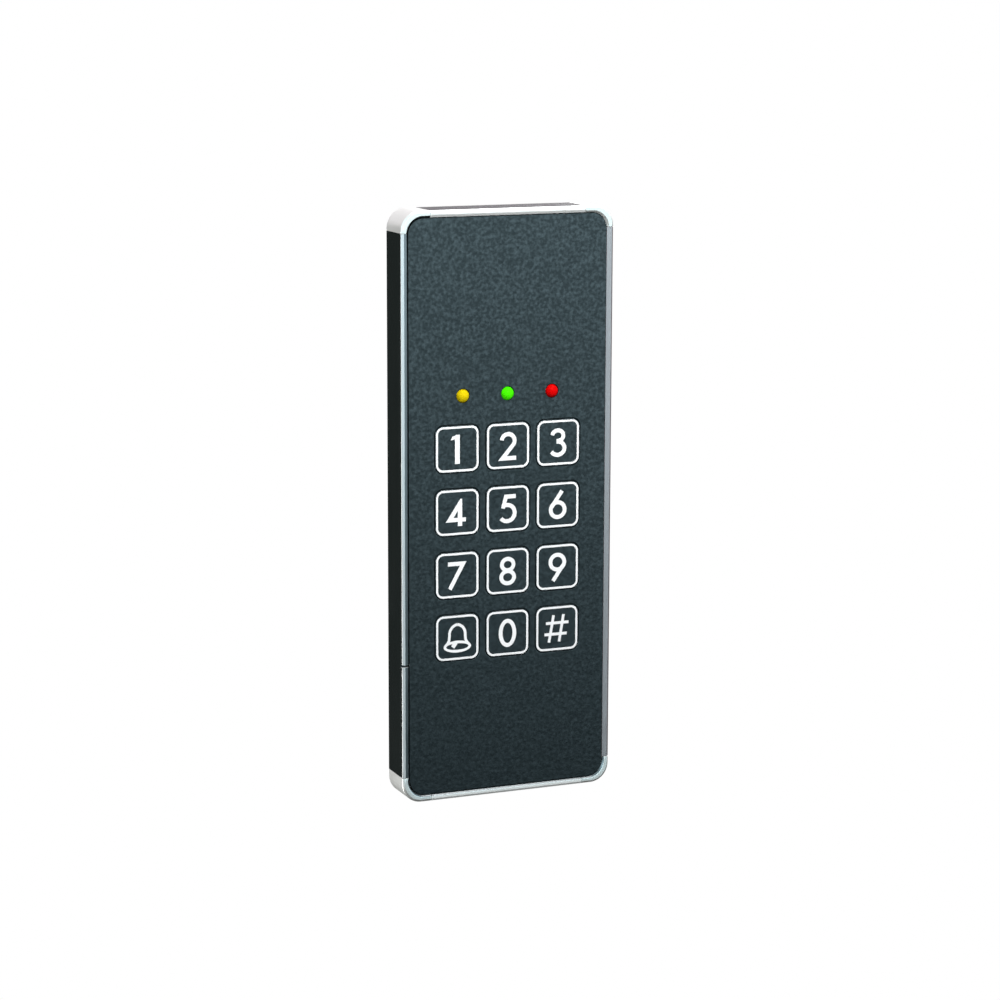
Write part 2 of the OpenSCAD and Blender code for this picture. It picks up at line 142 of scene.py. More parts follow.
def grained_material(
        name, colour, worn_colour, roughness, grain=0.3, depth=0.02, metallic=0.0, wear=0.2, **shader):
    """Finish with a fine grain, slow patches in its colour and roughness, and lighter worn edges.
    The grain, its depth and the width of the worn edges are in millimetres."""
    material = bpy.data.materials.new(name)
    material.use_nodes = True
    tree = material.node_tree
    tree.nodes.clear()
    surface = node(tree, "ShaderNodeGroup", node_tree=moulded_grain)
    surface.inputs["Size"].default_value = grain
    rubbed = node(tree, "ShaderNodeGroup", node_tree=edge_wear)
    rubbed.inputs["Radius"].default_value = wear * mm
    varied = node(tree, "ShaderNodeMix", {
        "Factor": surface.outputs["Patches"], "A": colour, "B": scaled(colour, 1.22)}, data_type="RGBA")
    painted = node(tree, "ShaderNodeMix", {
        "Factor": rubbed.outputs["Mask"], "A": varied.outputs["Result"], "B": worn_colour},
        data_type="RGBA")
    gloss = node(tree, "ShaderNodeMapRange", {
        "Value": surface.outputs["Patches"], "From Min": 0.3, "From Max": 0.7,
        "To Min": roughness * 0.88, "To Max": min(1.0, roughness * 1.12)})
    bump = node(tree, "ShaderNodeBump", {
        "Height": surface.outputs["Height"], "Strength": 1.0, "Distance": depth * mm})
    skin = node(tree, "ShaderNodeBsdfPrincipled", {
        "Base Color": painted.outputs["Result"], "Roughness": gloss.outputs["Result"],
        "Metallic": metallic, "Normal": bump.outputs["Normal"], **shader})
    node(tree, "ShaderNodeOutputMaterial", {"Surface": skin.outputs["BSDF"]})
    return material


def dress(name, material, edge=0.0):
    """Gives a CAD node its finish, and rounds its edges where edge is set."""
    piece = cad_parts[name]
    piece.data.materials.clear()
    piece.data.materials.append(material)
    if edge:
        merge = piece.modifiers.new("merge", "WELD")
        merge.merge_threshold = 1e-6
        soften(piece, edge)
    return piece


def soften(piece, edge, segments=3, angle=32):
    """Rounds the edges of a piece and keeps its flat faces flat."""
    rounding = piece.modifiers.new("rounding", "BEVEL")
    rounding.width = edge * mm
    rounding.segments = segments
    rounding.limit_method = "ANGLE"
    rounding.angle_limit = radians(angle)
    rounding.use_clamp_overlap = True
    rounding.miter_outer = "MITER_ARC"
    flat = piece.modifiers.new("flat faces", "WEIGHTED_NORMAL")
    flat.keep_sharp = True


dress("wall_plate", grained_material(
    "plate plastic", plate_black, (0.06, 0.062, 0.062, 1), 0.55, grain=0.25, depth=0.03), 0.15)

# ---------------------------------------------------------------------------
# Housing. A tray moulded in glossy black plastic, whose four walls come flush to
# the outside between the corner caps. The main board is screwed down inside it.

housing_black = (0.008, 0.0115, 0.0105, 1)

housing_plastic = grained_material(
    "housing plastic", housing_black, (0.02, 0.022, 0.022, 1), 0.2, grain=0.9, depth=0.002,
    wear=0.12, **{"Specular IOR Level": 0.35})
dress("housing", housing_plastic, 0.12)

# ---------------------------------------------------------------------------
# Cable gland and panel gasket. The gland is a black rubber ring moulded into the housing's
# floor round the cable hole; the gasket is a ring of black foam behind the panel.

seal_material = grained_material(
    "seal rubber", (0.015, 0.015, 0.015, 1), (0.03, 0.03, 0.03, 1), 0.8, grain=0.15, depth=0.02)
dress("cable_gland", seal_material, 0.1)
dress("panel_gasket", seal_material)

# ---------------------------------------------------------------------------
# Main board with its chips, coil, buzzer, switches and cable header, all soldered to its
# front, and the sprung tamper pin behind it. Solder mask is smooth and glossy, the packages
# are matt black epoxy, and the header and the pin are white plastic.

dress("main_board", grained_material(
    "solder mask", (0.005, 0.06, 0.025, 1), (0.2, 0.16, 0.08, 1), 0.28, grain=0.6, depth=0.008))
package_material = grained_material(
    "epoxy package", (0.012, 0.012, 0.013, 1), (0.03, 0.03, 0.03, 1), 0.6, grain=0.12, depth=0.01)
for chip in ("reader_chip", "microcontroller", "regulator", "buzzer", "tamper_switch", "switch_bodies"):
    dress(chip, package_material, 0.08)
tin_material = grained_material(
    "tinned metal", (0.6, 0.6, 0.61, 1), (0.75, 0.75, 0.75, 1), 0.32,
    grain=0.2, depth=0.004, metallic=1.0)
dress("crystal", tin_material, 0.08)
dress("led_legs", tin_material)
dress("chip_parts", grained_material(
    "fired ceramic", (0.22, 0.15, 0.09, 1), (0.6, 0.6, 0.6, 1), 0.5, grain=0.15, depth=0.01), 0.05)
dress("antenna_coil", grained_material(
    "enamelled copper", (0.42, 0.13, 0.05, 1), (0.6, 0.25, 0.1, 1), 0.3,
    grain=0.12, depth=0.03, metallic=0.9), 0.1)
white_plastic = grained_material(
    "white plastic", (0.78, 0.78, 0.76, 1), (0.85, 0.85, 0.84, 1), 0.45, grain=0.3, depth=0.008)
dress("cable_header", white_plastic, 0.06)
dress("tamper_plunger", white_plastic, 0.1)

# ---------------------------------------------------------------------------
# Front panel. A stiff moulded fascia that its gasket sticks to the housing's ledge. It is dark
# blue-grey with a pebbled grain whose crowns catch the light, and has twelve key openings
# and three lamp holes.

KEYS = ("1", "2", "3", "4", "5", "6", "7", "8", "9", "bell", "0", "hash")
LAMPS = ("led_amber", "led_green", "led_red")
panel_corner = 3.6
key_corner = 2.0
key_flange = 0.5
key_gap = 0.15
lamp_gap = 0.1
panel_edge = 0.1
lamp_flange_w = 0.4
panel_dark = (0.0024, 0.005, 0.0058, 1)
panel_light = (0.0034, 0.0066, 0.0076, 1)
panel_fleck = (0.0045, 0.0083, 0.0098, 1)
panel_worn = (0.03, 0.038, 0.041, 1)


def middle(name):
    """Plan position in millimetres, x and z, of a CAD node's middle."""
    low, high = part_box(name)
    return (low.x + high.x) / 2 / mm, (low.z + high.z) / 2 / mm


def size(name):
    """Width, depth and height of a CAD node in millimetres."""
    low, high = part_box(name)
    return (high - low) / mm


def arc(centre, radius, start, end, steps=12, squeeze=1.0):
    """Points along an arc, between two angles in degrees; squeeze scales its height."""
    return [
        (centre[0] + radius * cos(radians(start + (end - start) * i / steps)),
         centre[1] + radius * squeeze * sin(radians(start + (end - start) * i / steps)))
        for i in range(steps + 1)]


def rounded_loop(centre, width, height, radius, steps=12):
    """Closed outline of a rectangle with round corners."""
    x, z = width / 2 - radius, height / 2 - radius
    loop = []
    for side_x, side_z, start in ((1, 1, 0), (-1, 1, 90), (-1, -1, 180), (1, -1, 270)):
        loop += arc((centre[0] + side_x * x, centre[1] + side_z * z), radius, start, start + 90, steps)
    return loop


def cut_plate(name, loops, back, front, edge, resolution=2):
    """Plate with the first loop as its outline and the others as holes, between two distances
    in front of the wall, with rounded edges. All sizes are in millimetres."""
    outline = bpy.data.curves.new(name, "CURVE")
    outline.dimensions = "2D"
    outline.fill_mode = "BOTH"
    for loop in loops:
        spline = outline.splines.new("POLY")
        spline.points.add(len(loop) - 1)
        for point, (x, z) in zip(spline.points, loop):
            point.co = (x, z, 0, 1)
        spline.use_cyclic_u = True
    outline.extrude = (front - back) / 2 - edge
    outline.bevel_depth = edge
    outline.bevel_resolution = resolution
    outline.offset = -edge
    flat = bpy.data.objects.new(name, outline)
    bpy.context.scene.collection.objects.link(flat)
    bpy.context.view_layer.update()
    mesh = bpy.data.meshes.new_from_object(flat)
    bpy.data.objects.remove(flat)
    bpy.data.curves.remove(outline)
    mesh.transform(Matrix.Translation((0, 0, (front + back) / 2)))
    mesh.transform(Matrix.Scale(mm, 4) @ Matrix.Rotation(pi / 2, 4, "X"))
    plate = mesh_object(name, mesh)
    flatten_ends(plate)
    return plate


def flatten_ends(plate):
    """Shades the front and back faces of a plate flat."""
    for face in plate.data.polygons:
        if abs(face.normal.y) > 0.999:
            face.use_smooth = False


def mesh_object(name, mesh, angle=30):
    """Closes a mesh into one clean skin and puts it in the scene."""
    cleaned = bmesh.new()
    cleaned.from_mesh(mesh)
    bmesh.ops.remove_doubles(cleaned, verts=cleaned.verts, dist=1e-7)
    bmesh.ops.recalc_face_normals(cleaned, faces=cleaned.faces)
    cleaned.to_mesh(mesh)
    cleaned.free()
    mesh.name = name
    mesh.materials.clear()
    mesh.shade_smooth()
    mesh.set_sharp_from_angle(angle=radians(angle))
    piece = bpy.data.objects.new(name, mesh)
    bpy.context.scene.collection.objects.link(piece)
    return piece


def settle(piece, material, body, nodes=()):
    """Gives a finished piece its material, body and the CAD nodes it stands for."""
    for finish in (material if isinstance(material, list) else [material]):
        piece.data.materials.append(finish)
    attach(piece, body)
    if nodes:
        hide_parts(*nodes)
    return piece


def build_pebbles():
    """Shader group: the panel's pebbled grain. Height rises on each pebble; Crown marks the
    few pebbles whose tops are polished and catch the light."""
    group = bpy.data.node_groups.new("pebbled grain", "ShaderNodeTree")
    socket(group, "Pebble Size", "INPUT", value=0.8)
    socket(group, "Height", "OUTPUT")
    socket(group, "Crown", "OUTPUT")
    socket(group, "Tint", "OUTPUT")
    inside = node(group, "NodeGroupInput")
    outside = node(group, "NodeGroupOutput")
    place = node(group, "ShaderNodeTexCoord")
    per_metre = node(group, "ShaderNodeMath", {
        0: 1 / mm, 1: inside.outputs["Pebble Size"]}, operation="DIVIDE")
    wander = node(group, "ShaderNodeTexNoise", {
        "Vector": place.outputs["Object"], "Scale": per_metre.outputs["Value"], "Detail": 1.0})
    shifted = node(group, "ShaderNodeVectorMath", {
        0: wander.outputs["Color"], 1: (0.5 * mm, 0.5 * mm, 0.5 * mm)}, operation="MULTIPLY")
    warped = node(group, "ShaderNodeVectorMath", {
        0: place.outputs["Object"], 1: shifted.outputs["Vector"]}, operation="ADD")
    pebbles = node(group, "ShaderNodeTexVoronoi", {
        "Vector": warped.outputs["Vector"], "Scale": per_metre.outputs["Value"], "Randomness": 1.0},
        feature="SMOOTH_F1")
    round_tops = node(group, "ShaderNodeMapRange", {
        "Value": pebbles.outputs["Distance"], "From Min": 0.75, "From Max": 0.1})
    rough = node(group, "ShaderNodeTexNoise", {
        "Vector": place.outputs["Object"], "Scale": 1 / (0.3 * mm), "Detail": 1.0})
    height = node(group, "ShaderNodeMix", {
        "Factor": 0.25, "A": round_tops.outputs["Result"], "B": rough.outputs["Fac"]},
        data_type="FLOAT")
    crown = node(group, "ShaderNodeTexNoise", {
        "Vector": place.outputs["Object"], "Scale": 1 / (0.8 * mm), "Detail": 3.0, "Roughness": 0.6})
    crowned = node(group, "ShaderNodeMapRange", {
        "Value": crown.outputs["Fac"], "From Min": 0.42, "From Max": 0.69})
    tint = node(group, "ShaderNodeTexNoise", {
        "Vector": place.outputs["Object"], "Scale": 1 / (4 * mm), "Detail": 4.0})
    group.links.new(height.outputs["Result"], outside.inputs["Height"])
    group.links.new(crowned.outputs["Result"], outside.inputs["Crown"])
    group.links.new(tint.outputs["Fac"], outside.inputs["Tint"])
    return group


pebbled_grain = build_pebbles()


def pebbled_material(name):
    """Dark blue-grey plastic with the pebbled grain, rubbed lighter along its edges."""
    material = bpy.data.materials.new(name)
    material.use_nodes = True
    tree = material.node_tree
    tree.nodes.clear()
    grain = node(tree, "ShaderNodeGroup", node_tree=pebbled_grain)
    rubbed = node(tree, "ShaderNodeGroup", node_tree=edge_wear)
    rubbed.inputs["Radius"].default_value = 0.15 * mm
    base = node(tree, "ShaderNodeMix", {
        "Factor": grain.outputs["Tint"], "A": panel_dark, "B": panel_light}, data_type="RGBA")
    flecked = node(tree, "ShaderNodeMix", {
        "Factor": grain.outputs["Crown"], "A": base.outputs["Result"], "B": panel_fleck},
        data_type="RGBA")
    worn = node(tree, "ShaderNodeMix", {
        "Factor": rubbed.outputs["Mask"], "A": flecked.outputs["Result"], "B": panel_worn},
        data_type="RGBA")
    gloss = node(tree, "ShaderNodeMapRange", {
        "Value": grain.outputs["Crown"], "To Min": 0.32, "To Max": 0.29})
    bump = node(tree, "ShaderNodeBump", {
        "Height": grain.outputs["Height"], "Strength": 1.0, "Distance": 0.022 * mm})
    skin = node(tree, "ShaderNodeBsdfPrincipled", {
        "Base Color": worn.outputs["Result"], "Roughness": gloss.outputs["Result"],
        "Normal": bump.outputs["Normal"], "Specular IOR Level": 0.55,
        "Coat Weight": grain.outputs["Crown"], "Coat Roughness": 0.27, "Coat IOR": 1.6})
    node(tree, "ShaderNodeOutputMaterial", {"Surface": skin.outputs["BSDF"]})
    return material


panel_material = pebbled_material("pebbled panel")
panel_front = -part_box("front_panel")[0].y / mm
panel_back = -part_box("front_panel")[1].y / mm
panel_size = size("front_panel")
cap_side = size("key_1").x - 2 * key_flange
opening_side = cap_side + 2 * key_gap
panel_loops = [rounded_loop(middle("front_panel"), panel_size.x, panel_size.z, panel_corner, 16)]
for key in KEYS:
    panel_loops.append(rounded_loop(
        middle("key_" + key), opening_side, opening_side, key_corner + key_gap))
for lamp in LAMPS:
    hole_r = size(lamp).x / 2 - lamp_flange_w + lamp_gap
    panel_loops.append(arc(middle(lamp), hole_r, 0, 360, 32)[:-1])
panel = cut_plate("front_panel_skin", panel_loops, panel_back, panel_front, panel_edge)
settle(panel, panel_material, "reader", ["front_panel"])

# ---------------------------------------------------------------------------
# Key caps. Twelve flush square caps moulded like the panel, each with a flange behind it
# that keeps it in its opening and a boss that bears on its switch.

cap_back = -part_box("key_1")[1].y / mm
boss_h = 0.35
boss_r = 1.8
flange_t = 0.6
cap_edge = 0.08
hidden_edge = 0.05
overlap = 0.1


def fuse(first, *others):
    """Joins closed pieces that overlap into one closed skin."""
    for other in others:
        join = first.modifiers.new("join", "BOOLEAN")
        join.operation = "UNION"
        join.solver = "EXACT"
        join.object = other
        bpy.context.view_layer.update()
        evaluated = first.evaluated_get(bpy.context.evaluated_depsgraph_get())
        mesh = bpy.data.meshes.new_from_object(evaluated)
        first.modifiers.clear()
        first.data = mesh
        bpy.data.objects.remove(other)
    first.data.shade_smooth()
    first.data.set_sharp_from_angle(angle=radians(30))
    flatten_ends(first)
    return first


key_material = pebbled_material("pebbled key")
# the cap, flange and boss overlap a little, so that they fuse
cap = cut_plate(
    "cap", [rounded_loop((0, 0), cap_side, cap_side, key_corner)],
    cap_back + boss_h + overlap, panel_front, cap_edge)
flange_side = cap_side + 2 * key_flange
flange = cut_plate(
    "flange", [rounded_loop((0, 0), flange_side, flange_side, key_corner)],
    cap_back + boss_h, cap_back + boss_h + flange_t, hidden_edge)
boss = cut_plate(
    "boss", [arc((0, 0), boss_r, 0, 360, 32)[:-1]],
    cap_back, cap_back + boss_h + 2 * overlap, hidden_edge)
cap = fuse(cap, flange, boss)
stem_material = grained_material(
    "switch stem", (0.55, 0.5, 0.36, 1), (0.65, 0.6, 0.5, 1), 0.5, grain=0.2, depth=0.01)
for key in KEYS:
    x, z = middle("key_" + key)
    cap_mesh = cap.data.copy()
    cap_mesh.transform(Matrix.Translation((x * mm, 0, z * mm)))
    key_cap = bpy.data.objects.new(f"key_{key}_cap", cap_mesh)
    bpy.context.scene.collection.objects.link(key_cap)
    settle(key_cap, key_material, "button_" + key, ["key_" + key])
    dress("switch_stem_" + key, stem_material)
bpy.data.objects.remove(cap)

# ---------------------------------------------------------------------------
# Legends. A square outline and a plain figure, screen printed on each cap in thick white
# ink that stands a few hundredths of a millimetre proud.

ink_t = 0.035
ink_sunk = 0.02
ink_edge = 0.01
ring_side = 9.93
ring_line = 0.49
ring_corner = 1.5
figure_line = 0.96
bell_line = 0.65
hash_line = 0.68


def stroke(points, width):
    """Outline of a line of that width along the points, with mitred bends and square ends."""
    left, right = [], []
    for i, (x, z) in enumerate(points):
        ways = []
        for a, b in ((i - 1, i), (i, i + 1)):
            if a >= 0 and b < len(points):
                dx, dz = points[b][0] - points[a][0], points[b][1] - points[a][1]
                ways.append((dx / hypot(dx, dz), dz / hypot(dx, dz)))
        nx, nz = -sum(w[1] for w in ways), sum(w[0] for w in ways)
        length = hypot(nx, nz)
        nx, nz = nx / length, nz / length
        # the longer side of a sharp bend is kept from running out into a spike
        reach = width / 2 / max(0.3, -ways[0][1] * nx + ways[0][0] * nz)
        left.append((x + nx * reach, z + nz * reach))
        right.append((x - nx * reach, z - nz * reach))
    return left + right[::-1]


def ellipse(centre, radius_x, radius_z, steps=40):
    """Closed oval outline."""
    return arc(centre, radius_x, 0, 360, steps, radius_z / radius_x)[:-1]


def ring(centre, radius_x, radius_z, width):
    """Two loops: the outside and the hole of an oval line."""
    half = width / 2
    return [
        ellipse(centre, radius_x + half, radius_z + half),
        ellipse(centre, radius_x - half, radius_z - half)]


def turned(shape):
    """The shape turned half a turn about the key's middle."""
    return [[(-x, -z) for x, z in loop] for loop in shape]


# each figure is a list of shapes, and each shape is an outline followed by its holes
six = [
    ring((0, -1.12), 1.75, 1.74, figure_line),
    [stroke([(1.08, 3.28), (-1.5, -0.4)], figure_line)]]
dome = arc((0.4, 0.8), 2.35, 186, 99.8, 14)
bell_side = [(-3.0, -1.85), (-2.4, -1.25), (-2.05, -0.55)] + dome
FIGURES = {
    "1": [[[(-0.58, -3.4), (0.6, -3.4), (0.6, 3.28), (-0.35, 3.28), (-0.75, 3.02), (-1.2, 2.92),
            (-1.62, 2.1), (-0.58, 2.28)]]],
    "2": [[stroke(
        arc((0, 1.12), 1.6, 172, -32, 22) + [(-1.4, -2.9), (2.0, -2.9)], figure_line)]],
    "3": [
        [stroke(arc((-0.08, 1.6), 1.4, 172, -90, 20, 0.88) + [(-0.4, 0.37)], figure_line)],
        [stroke([(-0.4, 0.2)] + arc((-0.12, -1.34), 1.72, 90, -152, 24, 0.9), figure_line)]],
    "4": [[
        [(1.2, 3.1), (0.72, 3.1), (-2.85, -2.2), (0.1, -2.2), (0.1, -3.2), (1.2, -3.2), (1.2, -2.2),
         (2.1, -2.2), (2.1, -1.25), (1.2, -1.25)],
        [(0.1, 0.35), (0.1, -1.25), (-0.98, -1.25)]]],
    "5": [
        [stroke([(1.95, 2.82), (-0.5, 2.82), (-1.22, 0.1)], figure_line)],
        [stroke(arc((-0.2, -1.02), 1.9, 128, -142, 28), figure_line)]],
    "6": six,
    "7": [[stroke([(-2.3, 2.68), (1.45, 2.68), (-1.85, -3.2)], figure_line)]],
    "8": [
        ring((0, 1.53), 1.45, 1.33, figure_line),
        ring((0, -1.45), 1.6, 1.44, figure_line)],
    "9": [turned(shape) for shape in six],
    "0": [ring((0, 0), 1.72, 2.87, figure_line)],
    "hash": [
        [stroke([(-2.0, -3.25), (-0.87, 3.2)], hash_line)],
        [stroke([(0.56, -3.2), (1.66, 3.25)], hash_line)],
        [stroke([(-2.8, 1.33), (2.95, 1.33)], hash_line)],
        [stroke([(-3.15, -1.33), (2.5, -1.33)], hash_line)]],
    "bell": [
        [stroke(bell_side, bell_line)],
        [stroke([(-x, z) for x, z in bell_side], bell_line)],
        ring((0.0, -2.13), 3.08, 1.08, bell_line),
        [stroke([(-0.35, -1.15), (-1.15, -2.25)], 1.0)]],
}
ink_material = grained_material(
    "white ink", (0.82, 0.85, 0.86, 1), (0.8, 0.83, 0.84, 1), 0.6, grain=0.2, depth=0.006, wear=0.02)
ring_outer = ring_side + ring_line
ring_inner = ring_side - ring_line
for key in KEYS:
    shapes = [
        cut_plate(f"{key}_{i}", shape, panel_front - ink_sunk, panel_front + ink_t, ink_edge, 1)
        for i, shape in enumerate(FIGURES[key])]
    border = cut_plate(
        "border",
        [rounded_loop((0, 0), ring_outer, ring_outer, ring_corner + ring_line / 2),
         rounded_loop((0, 0), ring_inner, ring_inner, ring_corner - ring_line / 2)],
        panel_front - ink_sunk, panel_front + ink_t, ink_edge, 1)
    print_mesh = fuse(shapes[0], *shapes[1:], border)
    x, z = middle("key_" + key)
    print_mesh.data.transform(Matrix.Translation((x * mm, 0, z * mm)))
    print_mesh.name = f"legend_{key}"
    settle(print_mesh, ink_material, "button_" + key)

# ---------------------------------------------------------------------------
# Indicator lamps. Three 3 mm lamps cast in coloured resin: a plain barrel with a dome on
# the end and a flange at its base. They stand a little out of the panel.


def lathe(name, profile, steps=48):
    """Solid of revolution about the Y axis, from points of radius and distance from the wall."""
    spun = bmesh.new()
    rows = []
    for radius, height in profile:
        if radius == 0:
            rows.append([spun.verts.new((0, -height * mm, 0))] * steps)
        else:
            circle = arc((0, 0), radius * mm, 0, 360, steps)[:-1]
            rows.append([spun.verts.new((x, -height * mm, z)) for x, z in circle])
    for low, high in zip(rows, rows[1:]):
        for i in range(steps):
            corners = [low[i], low[(i + 1) % steps], high[(i + 1) % steps], high[i]]
            spun.faces.new(list(dict.fromkeys(corners)))
    mesh = bpy.data.meshes.new(name)
    spun.to_mesh(mesh)
    spun.free()
    return mesh_object(name, mesh)


def resin_material(name, colour, glow):
    """Cast tinted resin: deep colour, faint swirls, a dull skin and some light held inside."""
    material = bpy.data.materials.new(name)
    material.use_nodes = True
    tree = material.node_tree
    tree.nodes.clear()
    surface = node(tree, "ShaderNodeGroup", node_tree=moulded_grain)
    surface.inputs["Size"].default_value = 0.8
    tinted = node(tree, "ShaderNodeMix", {
        "Factor": surface.outputs["Patches"], "A": scaled(colour, 0.85), "B": colour}, data_type="RGBA")
    bump = node(tree, "ShaderNodeBump", {"Height": surface.outputs["Height"], "Distance": 0.001 * mm})
    skin = node(tree, "ShaderNodeBsdfPrincipled", {
        "Base Color": tinted.outputs["Result"], "Roughness": 0.4, "Normal": bump.outputs["Normal"],
        "Emission Color": tinted.outputs["Result"], "Emission Strength": glow,
        "Specular IOR Level": 0.05})
    node(tree, "ShaderNodeOutputMaterial", {"Surface": skin.outputs["BSDF"]})
    return material


# colour and glow of each lamp
lamp_finish = {
    "led_amber": ((0.6, 0.46, 0.002, 1), 0.15),
    "led_green": ((0.05, 0.7, 0.001, 1), 0.35),
    "led_red": ((0.6, 0.001, 0.001, 1), 0.15),
}
lamp_flange_h = 0.8
flange_round = 0.08
for lamp in LAMPS:
    base = -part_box(lamp)[1].y / mm
    top = -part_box(lamp)[0].y / mm
    rim_r = size(lamp).x / 2
    barrel_r = rim_r - lamp_flange_w
    shoulder = base + lamp_flange_h
    profile = [
        (0, base), (rim_r - flange_round, base), (rim_r, base + flange_round),
        (rim_r, shoulder - flange_round), (rim_r - flange_round, shoulder), (barrel_r, shoulder)]
    profile += arc((0, top - barrel_r), barrel_r, 0, 90, 14)[:-1] + [(0, top)]
    dome_piece = lathe(lamp + "_resin", profile)
    x, z = middle(lamp)
    dome_piece.data.transform(Matrix.Translation((x * mm, 0, z * mm)))
    resin = resin_material(lamp + " resin", *lamp_finish[lamp])
    settle(dome_piece, resin, "reader", [lamp])

# ---------------------------------------------------------------------------
# Edge strips. Narrow bright drawn strips pressed along the front edge between the corner
# caps; the left one is in two lengths with a small gap between them.

strip_slope = 0.5
strip_rise = 0.45
strip_drop = 0.5
strip_edge = 0.09
flat_end_left = 0.65
flat_end_right = 0.8
flat_end_top = 0.95
flat_end_bottom = 1.15
split = 0.5
split_z = -35.7


def loft(name, sections, edge):
    """Skin over a row of like sections, in millimetres, closed at both ends and with rounded edges."""
    skin = bmesh.new()
    rows = [[skin.verts.new(Vector(p) * mm) for p in section] for section in sections]
    for a, b in zip(rows, rows[1:]):
        for i in range(len(a)):
            j = (i + 1) % len(a)
            skin.faces.new([a[i], a[j], b[j], b[i]])
    skin.faces.new(rows[0][::-1])
    skin.faces.new(rows[-1])
    mesh = bpy.data.meshes.new(name)
    skin.to_mesh(mesh)
    skin.free()
    piece = mesh_object(name, mesh, 25)
    soften(piece, edge, 3, 20)
    return piece


def strip_between(name, start, end, outward, flat_end, width, back, front):
    """Straight strip between two plan points on the outer wall; outward is the way its flank
    faces, and flat_end is how far in its flat front reaches."""
    section = [
        (0, back), (0, front - strip_rise), (-strip_slope, front), (-flat_end, front),
        (-width, front - strip_drop), (-width, back)]
    strip = loft(name, [
        [(end_x + outward[0] * a, -h, end_z + outward[1] * a) for a, h in section]
        for end_x, end_z in (start, end)], strip_edge)
    # the flank is finished black, like the wall behind it; on the left and bottom strips the slope down
    # to the panel gets painted shade, a darker copy of the metal
    way_out = Vector((outward[0], 0, outward[1]))
    for face in strip.data.polygons:
        facing = face.normal.dot(way_out)
        if facing > 0.99:
            face.material_index = 1
        elif facing < -0.3 and min(outward) < 0:
            face.material_index = 2
    return strip


def metal_material(name, colour, shade, metallic, roughness, scratch, depth):
    """Bare metal with fine lengthwise lines, slow stains and bright rubbed edges."""
    material = bpy.data.materials.new(name)
    material.use_nodes = True
    tree = material.node_tree
    tree.nodes.clear()
    rubbed = node(tree, "ShaderNodeGroup", node_tree=edge_wear)
    rubbed.inputs["Radius"].default_value = 0.12 * mm
    place = node(tree, "ShaderNodeTexCoord")
    drawn = node(tree, "ShaderNodeMapping", {"Vector": place.outputs["Object"], "Scale": scratch})
    lines = node(tree, "ShaderNodeTexNoise", {
        "Vector": drawn.outputs["Vector"], "Scale": 1.0, "Detail": 3.0})
    surface = node(tree, "ShaderNodeGroup", node_tree=moulded_grain)
    surface.inputs["Size"].default_value = 0.25
    stained = node(tree, "ShaderNodeMix", {
        "Factor": surface.outputs["Patches"], "A": shade, "B": colour}, data_type="RGBA")
    bright = node(tree, "ShaderNodeMix", {
        "Factor": rubbed.outputs["Mask"], "A": stained.outputs["Result"], "B": (0.93, 0.94, 0.95, 1)},
        data_type="RGBA")
    gloss = node(tree, "ShaderNodeMapRange", {
        "Value": lines.outputs["Fac"], "From Min": 0.3, "From Max": 0.7,
        "To Min": roughness * 0.8, "To Max": roughness * 1.25})
    bump = node(tree, "ShaderNodeBump", {"Height": lines.outputs["Fac"], "Distance": depth * mm})
    skin = node(tree, "ShaderNodeBsdfPrincipled", {
        "Base Color": bright.outputs["Result"], "Metallic": metallic,
        "Roughness": gloss.outputs["Result"], "Normal": bump.outputs["Normal"]})
    node(tree, "ShaderNodeOutputMaterial", {"Surface": skin.outputs["BSDF"]})
    return material


# the drawn lines are long and fine and run along the strip, on the slopes of the caps too
lines_upright = (9000, 9000, 120)
lines_across = (120, 9000, 9000)
line_depth = 0.002
strip_upright = metal_material(
    "drawn metal upright", (0.74, 0.74, 0.73, 1), (0.68, 0.68, 0.67, 1),
    0.68, 0.3, lines_upright, line_depth)
# painted shade: a darker, pinker copy of the drawn metal, for the right strip only
strip_right_painted_shade = metal_material(
    "drawn metal right, painted shade", (0.56, 0.47, 0.46, 1), (0.49, 0.41, 0.4, 1),
    0.9, 0.35, lines_upright, line_depth)
# painted light: a lighter, less metallic copy of the drawn metal, for the top and bottom strips
strip_across_painted_light = metal_material(
    "drawn metal across, painted light", (0.93, 0.95, 0.93, 1), (0.86, 0.89, 0.87, 1),
    0.3, 0.3, lines_across, line_depth)
# painted shade: a dark copy of the drawn metal for the slopes down to the panel on the left and bottom
# strips and three corner caps
slope_painted_shade = metal_material(
    "shaded slope", (0.3, 0.3, 0.3, 1), (0.25, 0.25, 0.25, 1),
    1.0, 0.3, lines_upright, line_depth)
low, high = (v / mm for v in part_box("edge_strip_left"))
width = high.x - low.x
strip_span = (width, -high.y, -low.y)
upright_finish = [strip_upright, housing_plastic, slope_painted_shade]
halves = (
    ("left_upper", split_z + split / 2, high.z),
    ("left_lower", low.z, split_z - split / 2))
for name, bottom, top in halves:
    settle(
        strip_between(name, (low.x, bottom), (low.x, top), (-1, 0), flat_end_left, *strip_span),
        upright_finish, "reader", ["edge_strip_left"])
low, high = (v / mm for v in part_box("edge_strip_right"))
settle(
    strip_between(
        "edge_strip_right_metal", (high.x, low.z), (high.x, high.z), (1, 0),
        flat_end_right, *strip_span),
    [strip_right_painted_shade, housing_plastic, slope_painted_shade], "reader", ["edge_strip_right"])
for end, outward, flat_end in (("top", 1, flat_end_top), ("bottom", -1, flat_end_bottom)):
    low, high = (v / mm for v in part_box("edge_strip_" + end))
    edge_z = high.z if outward > 0 else low.z
    settle(
        strip_between(
            f"edge_strip_{end}_metal", (low.x, edge_z), (high.x, edge_z), (0, outward),
            flat_end, *strip_span),
        [strip_across_painted_light, housing_plastic, slope_painted_shade], "reader", ["edge_strip_" + end])

# ---------------------------------------------------------------------------
# Corner caps. Four satin, bead-blasted metal caps that wrap the corners over the whole
# depth of the body, with a lip that turns in over the front and a slope down to the panel.

